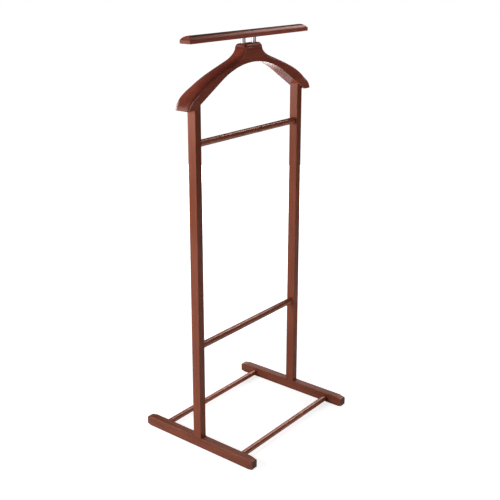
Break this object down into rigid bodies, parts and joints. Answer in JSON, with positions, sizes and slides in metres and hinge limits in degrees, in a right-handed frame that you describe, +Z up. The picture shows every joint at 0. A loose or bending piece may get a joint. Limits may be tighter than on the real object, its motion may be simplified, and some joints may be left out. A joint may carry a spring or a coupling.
{
  "type": "clothes valet stand",
  "caption": "Free-standing clothes valet: a carved coat hanger and a top rail on two tall posts, with crossbars for trousers and base rods between two floor feet.",
  "frame": {"origin": "middle of the footprint, on the floor", "axes": "+Z up the posts; X along the crossbars, with the left post at -X as seen from the front; -Y is the front, the side that the hanger's flat face and the picture's viewer are on"},
  "size_m": [0.5044, 0.376, 1.0915],
  "materials": {
    "foot_wood": "red-brown stain under satin lacquer",
    "post_wood": "red-brown stain under satin lacquer",
    "bar_wood": "red-brown stain under satin lacquer, turned",
    "hanger_wood": "red-brown stain under satin lacquer, carved",
    "rail_wood": "red-brown stain under satin lacquer",
    "chrome_sleeve": "polished chrome plate",
    "steel_fixing": "zinc-plated steel",
    "dowel_wood": "bare beech"
  },
  "bodies": {
    "root": {"left_foot": "foot_wood", "right_foot": "foot_wood", "left_post": "post_wood", "right_post": "post_wood", "upper_crossbar": "bar_wood", "lower_crossbar": "bar_wood", "front_base_rod": "bar_wood", "rear_base_rod": "bar_wood", "hanger": "hanger_wood", "top_rail": "rail_wood", "left_rail_sleeve": "chrome_sleeve", "right_rail_sleeve": "chrome_sleeve", "left_rail_stud": "steel_fixing", "right_rail_stud": "steel_fixing", "left_foot_screw": "steel_fixing", "right_foot_screw": "steel_fixing", "left_foot_dowel": "dowel_wood", "right_foot_dowel": "dowel_wood", "left_front_hanger_dowel": "dowel_wood", "left_rear_hanger_dowel": "dowel_wood", "right_front_hanger_dowel": "dowel_wood", "right_rear_hanger_dowel": "dowel_wood"}
  },
  "joints": []
}
